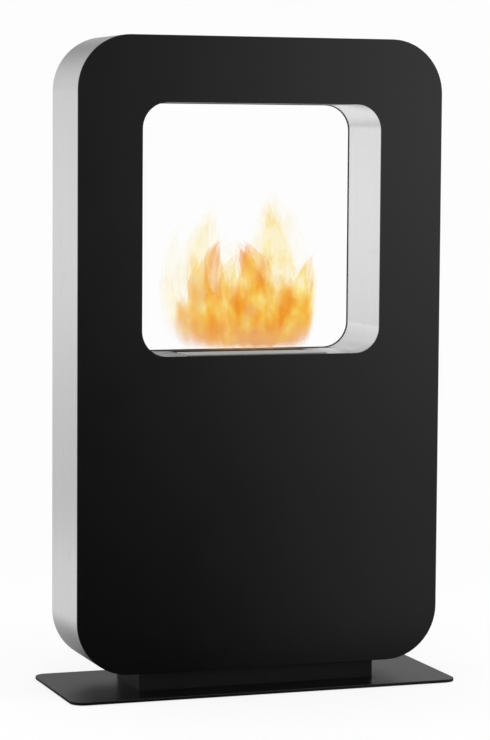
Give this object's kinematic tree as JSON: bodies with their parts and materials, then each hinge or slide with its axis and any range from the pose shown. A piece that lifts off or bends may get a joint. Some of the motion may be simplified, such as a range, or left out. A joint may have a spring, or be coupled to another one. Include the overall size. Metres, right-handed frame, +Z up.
{
  "type": "bioethanol fireplace",
  "caption": "Freestanding bioethanol fireplace: slim upright cabinet with a window through it, a slot burner flush in the sill with a sliding shutter, on a flat base plate.",
  "frame": {"origin": "on the floor, under the middle of the base plate", "axes": "+Z up, the front faces -Y, +X to the right as seen from the front"},
  "size_m": [0.646, 0.244, 1.035],
  "materials": {
    "black_coating": "fine-grained satin black powder coat",
    "brushed_shell": "finely brushed stainless steel",
    "burner_steel": "plain stainless steel with a little heat tint",
    "galvanised_sheet": "galvanised sheet, dull and faintly spangled",
    "zinc_fasteners": "zinc plated",
    "black_fasteners": "black oxide",
    "pad_rubber": "matte",
    "fibre_board": "pressed mineral fibre board",
    "fibre_wool": "loose white ceramic fibre"
  },
  "bodies": {
    "cabinet": {"floor_pads": "pad_rubber", "base_plate": "black_coating", "plinth": "black_coating", "base_bolts": "black_fasteners", "bolt_sleeves": "galvanised_sheet", "base_washers": "zinc_fasteners", "base_nuts": "zinc_fasteners", "outer_band": "brushed_shell", "front_panel": "black_coating", "rear_panel": "black_coating", "window_liner": "brushed_shell", "upright_left": "galvanised_sheet", "upright_right": "galvanised_sheet", "bottom_channel": "galvanised_sheet", "top_channel": "galvanised_sheet", "sill_rail_front": "galvanised_sheet", "sill_rail_rear": "galvanised_sheet", "header_rail_front": "galvanised_sheet", "header_rail_rear": "galvanised_sheet", "band_stays": "galvanised_sheet", "front_panel_studs": "zinc_fasteners", "front_panel_nuts": "zinc_fasteners", "rear_panel_screws": "black_fasteners", "burner_cradle": "burner_steel", "insulation_board": "fibre_board", "heat_shield": "galvanised_sheet", "shield_screws": "zinc_fasteners"},
    "burner": {"burner_tank": "burner_steel", "ceramic_wool": "fibre_wool", "wool_screen": "burner_steel", "burner_top": "burner_steel"},
    "shutter": {"shutter_plate": "burner_steel"}
  },
  "joints": [
    {"name": "burner_lift", "type": "slide", "parent": "cabinet", "child": "burner", "axis": [0, 0, 1], "range_m": [0, 0.09]},
    {"name": "shutter_slide", "type": "slide", "parent": "burner", "child": "shutter", "axis": [0, 1, 0], "range_m": [0, 0.047]}
  ]
}
